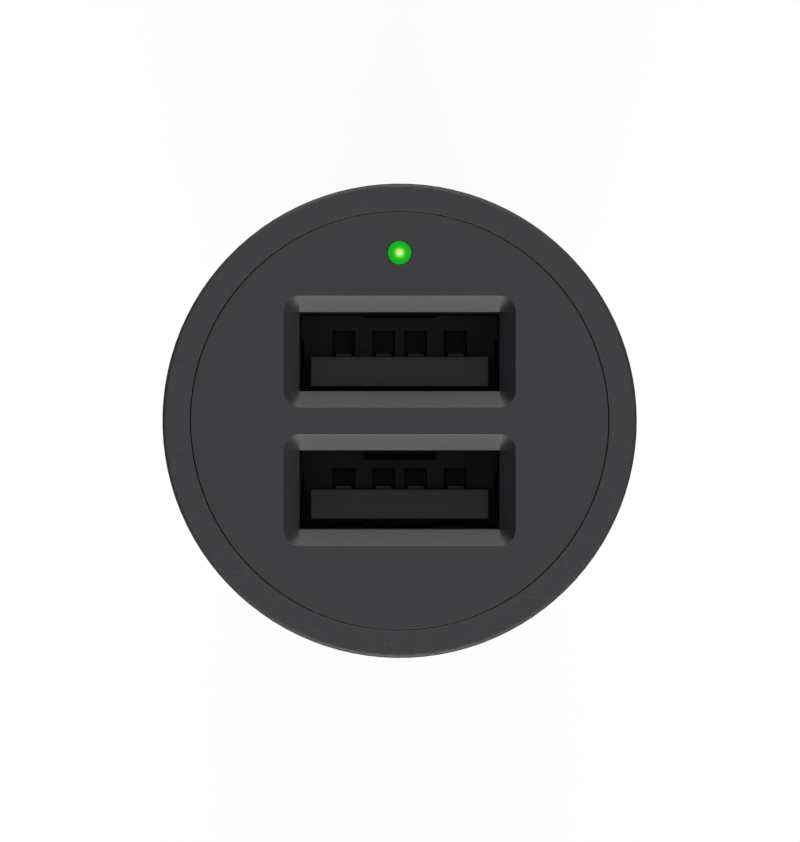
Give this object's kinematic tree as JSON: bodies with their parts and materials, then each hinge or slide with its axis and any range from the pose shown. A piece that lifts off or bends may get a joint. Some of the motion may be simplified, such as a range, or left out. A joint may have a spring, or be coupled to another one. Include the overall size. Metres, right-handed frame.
{
  "type": "vehicle socket usb charger plug",
  "caption": "Round-faced charger plug for a 12 V vehicle socket, with two stacked type A ports, a green indicator light, side springs and a sprung tip.",
  "frame": {"origin": "on the plug's axis, in the plane of the shoulder that seats on the socket's rim", "axes": "+Z along the axis from the sprung tip to the port face; +Y from the ports to the indicator light; +X to the right when the face is looked at with the light on top"},
  "size_m": [0.0295, 0.0294, 0.063],
  "materials": {
    "moulded_shell": "fine spark-eroded texture, moulded ABS/PC",
    "moulded_faceplate": "satin moulded ABS/PC",
    "green_light_pipe": "translucent green, glows when powered",
    "led_package": "white surface-mount package with a clear lens",
    "plated_shell_steel": "black-nickel-plated stamped steel",
    "connector_resin": "black glass-filled nylon",
    "plated_contact": "black-nickel-plated phosphor bronze",
    "board_laminate": "green solder mask on glass epoxy",
    "ferrite": "dark grey sintered ferrite",
    "copper_wire": "enamelled copper wire",
    "can_aluminium": "drawn can",
    "black_epoxy": "moulded component body",
    "fuse_body": "resettable fuse",
    "ceramic_chip": "sintered ceramic chip",
    "nickel_spring": "nickel-plated spring steel",
    "brass_terminal": "tinned brass",
    "nose_plastic": "satin moulded ABS/PC",
    "nickel_tip": "nickel-plated turned brass"
  },
  "bodies": {
    "charger": {"body_shell": "moulded_shell", "faceplate": "moulded_faceplate", "light_pipe": "green_light_pipe", "led_chip": "led_package", "upper_port_shell": "plated_shell_steel", "lower_port_shell": "plated_shell_steel", "upper_port_insulator": "connector_resin", "lower_port_insulator": "connector_resin", "upper_port_contact_1": "plated_contact", "upper_port_contact_2": "plated_contact", "upper_port_contact_3": "plated_contact", "upper_port_contact_4": "plated_contact", "lower_port_contact_1": "plated_contact", "lower_port_contact_2": "plated_contact", "lower_port_contact_3": "plated_contact", "lower_port_contact_4": "plated_contact", "port_board": "board_laminate", "main_board": "board_laminate", "inductor_core": "ferrite", "inductor_winding": "copper_wire", "input_capacitor": "can_aluminium", "output_capacitor": "can_aluminium", "capacitor_bases": "black_epoxy", "converter_chip": "black_epoxy", "rectifier_diode": "black_epoxy", "fuse": "fuse_body", "chip_capacitors": "ceramic_chip", "chip_resistors": "black_epoxy", "upper_ground_terminal": "brass_terminal", "lower_ground_terminal": "brass_terminal", "nose_cap": "nose_plastic", "spring_seat": "brass_terminal"},
    "upper_side_spring": {"upper_ground_spring": "nickel_spring"},
    "lower_side_spring": {"lower_ground_spring": "nickel_spring"},
    "tip": {"tip_contact": "nickel_tip", "tip_spring": "nickel_spring"}
  },
  "joints": [
    {"name": "upper_ground_press", "type": "hinge", "parent": "charger", "child": "upper_side_spring", "pos_m": [0, 0.00842, -0.0064], "axis": [-1, 0, 0], "range_deg": [0, 6.5], "stiffness_Nm_per_rad": 0.75},
    {"name": "lower_ground_press", "type": "hinge", "parent": "charger", "child": "lower_side_spring", "pos_m": [0, -0.00842, -0.0064], "axis": [1, 0, 0], "range_deg": [0, 6.5], "stiffness_Nm_per_rad": 0.75},
    {"name": "tip_press", "type": "slide", "parent": "charger", "child": "tip", "axis": [0, 0, 1], "range_m": [0, 0.003], "stiffness_N_per_m": 1500, "springref_m": -0.002, "deforming": ["tip_spring"]}
  ]
}
